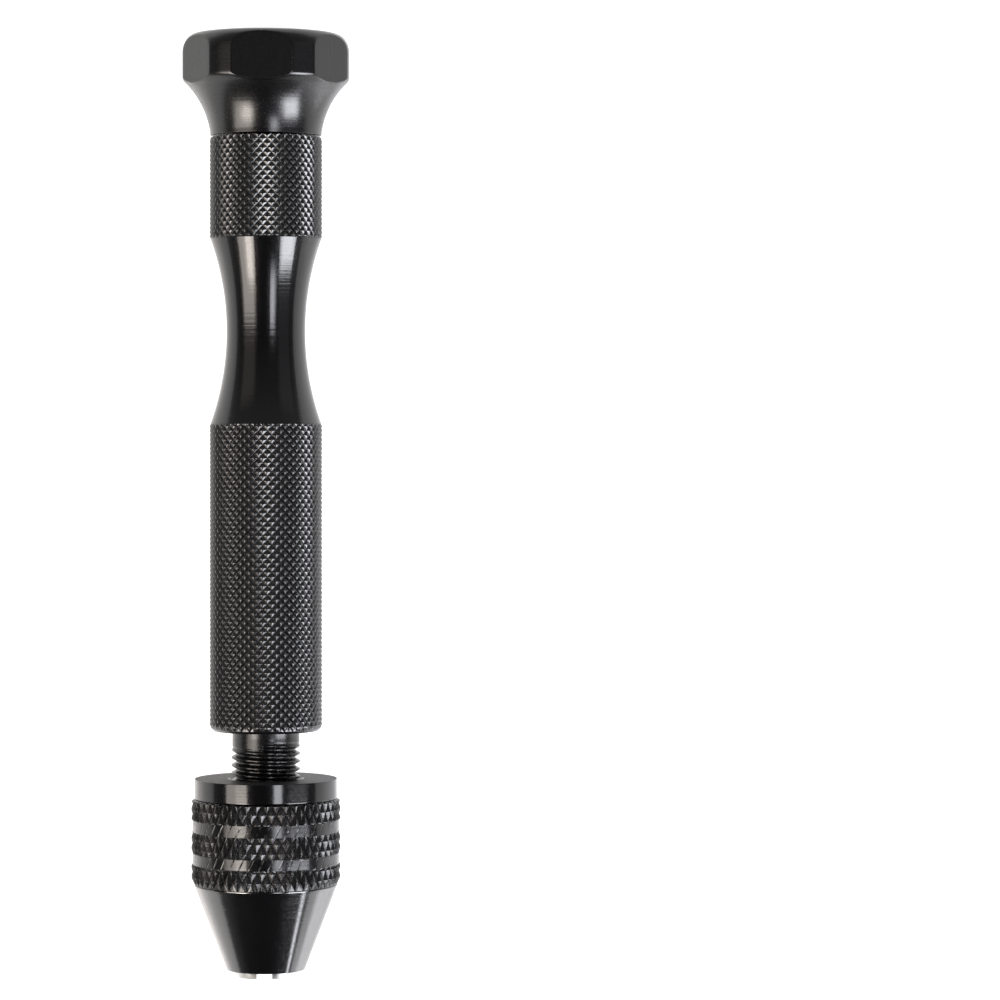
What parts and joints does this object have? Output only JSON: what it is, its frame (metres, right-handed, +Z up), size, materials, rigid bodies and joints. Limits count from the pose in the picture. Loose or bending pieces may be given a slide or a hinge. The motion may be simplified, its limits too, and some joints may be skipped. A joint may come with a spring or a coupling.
{
  "type": "pin vise drill",
  "caption": "Hand-turned pin vise: swivel palm cap, knurled two-grip handle with a slim waist, and a keyless chuck whose knurled sleeve opens and closes its jaws.",
  "frame": {"origin": "on the resting surface, under the middle of the tool as it lies on one flat of its cap", "axes": "+Y along the tool towards the palm cap, -Y towards the jaws, +Z up, away from the resting surface"},
  "size_m": [0.017, 0.096, 0.0159],
  "materials": {
    "black_anodised": "black anodised, finely turned, glossy; diamond-knurled grips",
    "blackened_steel": "blackened and oiled, turned, glossy",
    "bright_steel": "bare ground steel",
    "brass": "plain"
  },
  "bodies": {
    "handle": {"handle": "black_anodised", "threaded_stud": "blackened_steel", "chuck_body": "blackened_steel", "race_washer": "bright_steel", "sleeve_snap_ring": "bright_steel"},
    "palm_cap": {"swivel_cap": "black_anodised", "cap_thrust_ball": "bright_steel", "cap_snap_ring": "bright_steel"},
    "sleeve": {"chuck_sleeve": "blackened_steel", "chuck_nose_cone": "blackened_steel"},
    "ball_race": {"ball_cage": "brass", "bearing_ball_01": "bright_steel", "bearing_ball_02": "bright_steel", "bearing_ball_03": "bright_steel", "bearing_ball_04": "bright_steel", "bearing_ball_05": "bright_steel", "bearing_ball_06": "bright_steel", "bearing_ball_07": "bright_steel", "bearing_ball_08": "bright_steel", "bearing_ball_09": "bright_steel", "bearing_ball_10": "bright_steel", "bearing_ball_11": "bright_steel", "bearing_ball_12": "bright_steel"},
    "carrier": {"jaw_carrier": "bright_steel"},
    "first_jaw": {"jaw_1": "bright_steel"},
    "second_jaw": {"jaw_2": "bright_steel"},
    "third_jaw": {"jaw_3": "bright_steel"}
  },
  "joints": [
    {"name": "cap_swivel", "type": "hinge", "parent": "handle", "child": "palm_cap", "pos_m": [0, 0.0425, 0.00793], "axis": [0, 1, 0], "continuous": true},
    {"name": "sleeve_turn", "type": "hinge", "parent": "handle", "child": "sleeve", "pos_m": [0, -0.0343, 0.00793], "axis": [0, 1, 0], "range_deg": [-842, 1022]},
    {"name": "ball_race_turn", "type": "hinge", "parent": "handle", "child": "ball_race", "pos_m": [0, -0.03142, 0.00793], "axis": [0, 1, 0], "range_deg": [-421, 511]},
    {"name": "carrier_advance", "type": "slide", "parent": "sleeve", "child": "carrier", "axis": [0, -1, 0], "range_m": [-0.00187, 0.00227]},
    {"name": "first_jaw_slide", "type": "slide", "parent": "carrier", "child": "first_jaw", "axis": [-0.866, 0, -0.5], "range_m": [-0.0007, 0.00085]},
    {"name": "second_jaw_slide", "type": "slide", "parent": "carrier", "child": "second_jaw", "axis": [0.866, 0, -0.5], "range_m": [-0.0007, 0.00085]},
    {"name": "third_jaw_slide", "type": "slide", "parent": "carrier", "child": "third_jaw", "axis": [0, 0, 1], "range_m": [-0.0007, 0.00085]}
  ],
  "couplings": [
    {"joint": "ball_race_turn", "follows": "sleeve_turn", "ratio": 0.5},
    {"joint": "carrier_advance", "follows": "sleeve_turn", "m_per_rad": 0.00012732},
    {"joint": "first_jaw_slide", "follows": "sleeve_turn", "m_per_rad": 0.000047564},
    {"joint": "second_jaw_slide", "follows": "sleeve_turn", "m_per_rad": 0.000047564},
    {"joint": "third_jaw_slide", "follows": "sleeve_turn", "m_per_rad": 0.000047564}
  ]
}
